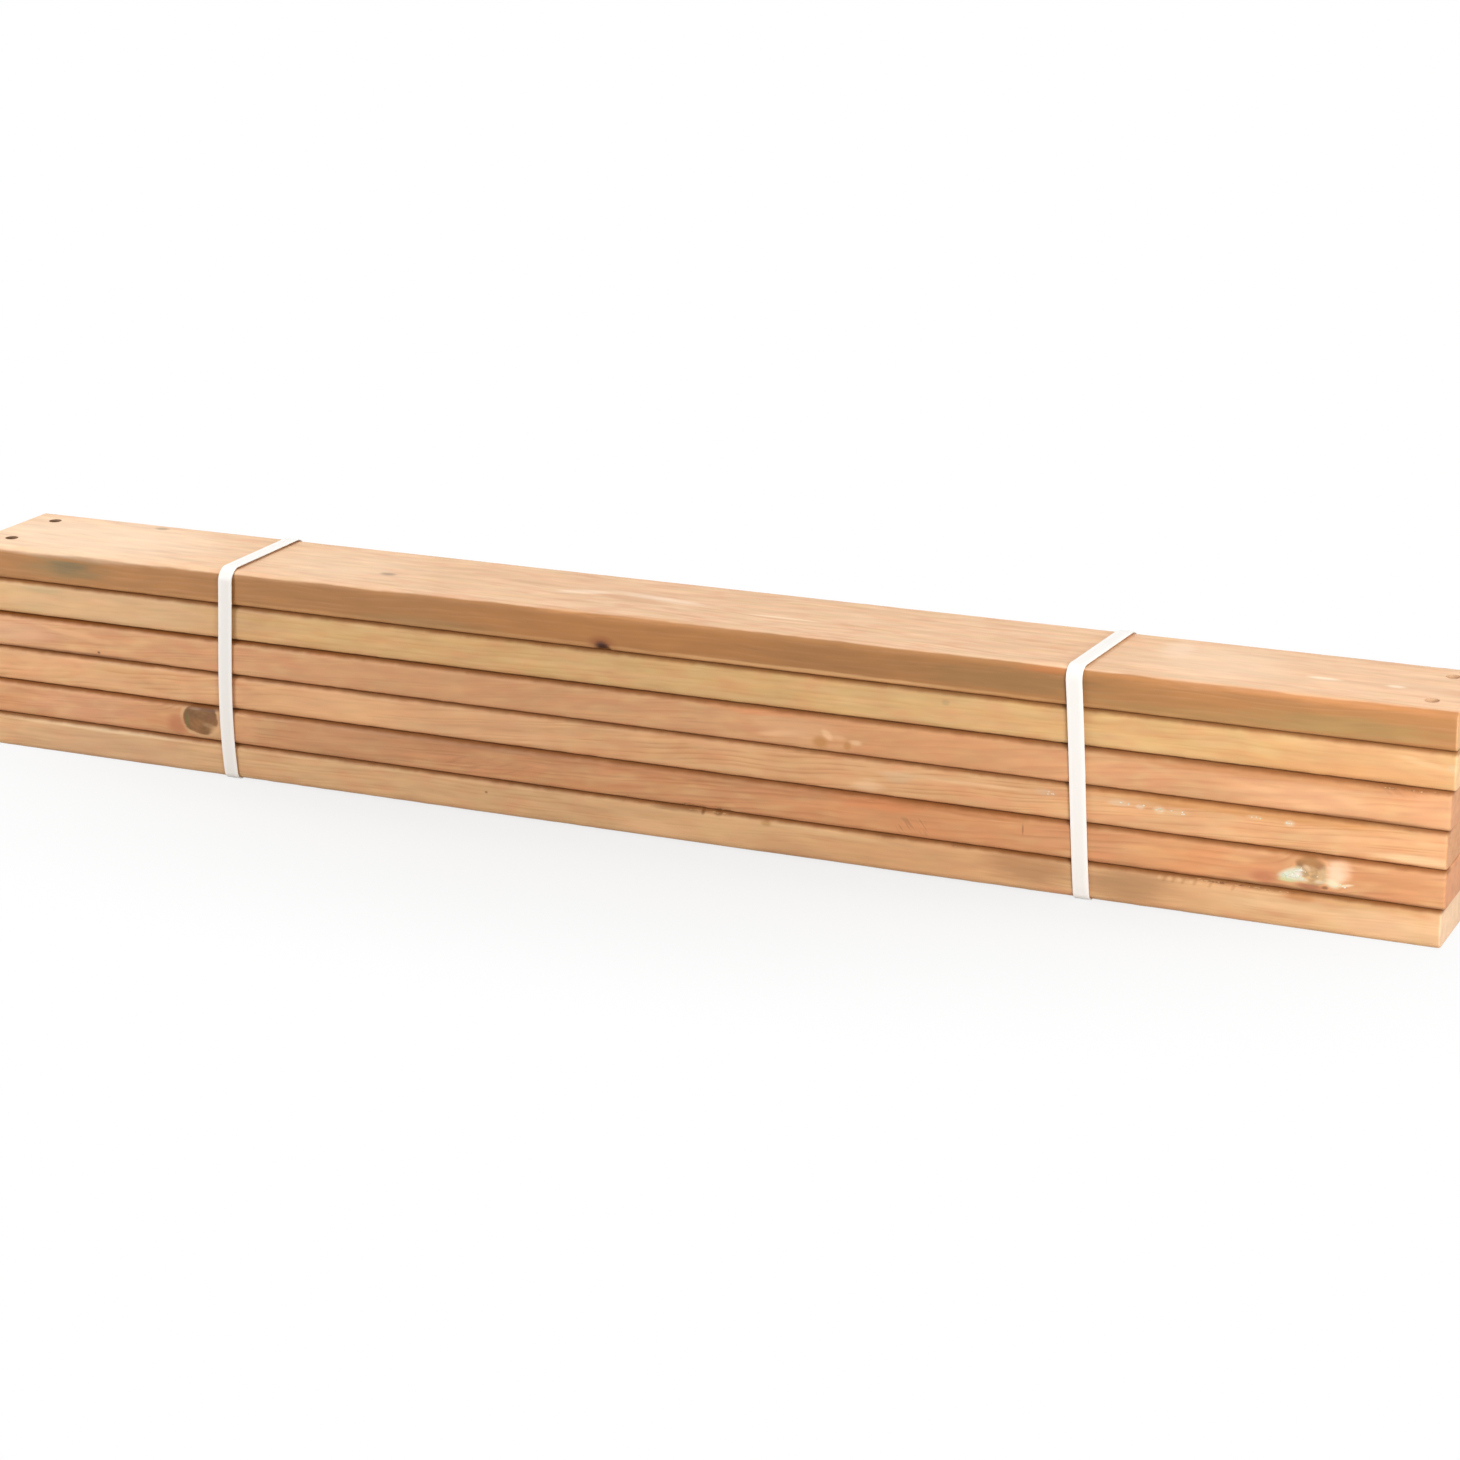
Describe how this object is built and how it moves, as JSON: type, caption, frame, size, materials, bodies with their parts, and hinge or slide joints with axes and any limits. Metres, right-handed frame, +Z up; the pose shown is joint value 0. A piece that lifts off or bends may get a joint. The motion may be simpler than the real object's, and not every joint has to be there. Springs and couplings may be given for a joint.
{
  "type": "bundle of larch planks",
  "caption": "Strapped stack of planed larch planks with rounded long edges and a bolt hole near each corner, lying flat, for decking, cladding or garden building.",
  "frame": {"origin": "on the floor under the middle of the bundle", "axes": "+X along the planks, +Y from the front long side to the back, +Z up through the stack"},
  "size_m": [1.205, 0.1106, 0.1721],
  "materials": {
    "larch": "planed, untreated",
    "strap": "white polypropylene band, finely embossed"
  },
  "bodies": {
    "root": {"plank_1": "larch", "plank_2": "larch", "plank_3": "larch", "plank_4": "larch", "plank_5": "larch", "plank_6": "larch", "strap_left": "strap", "strap_right": "strap"}
  },
  "joints": []
}
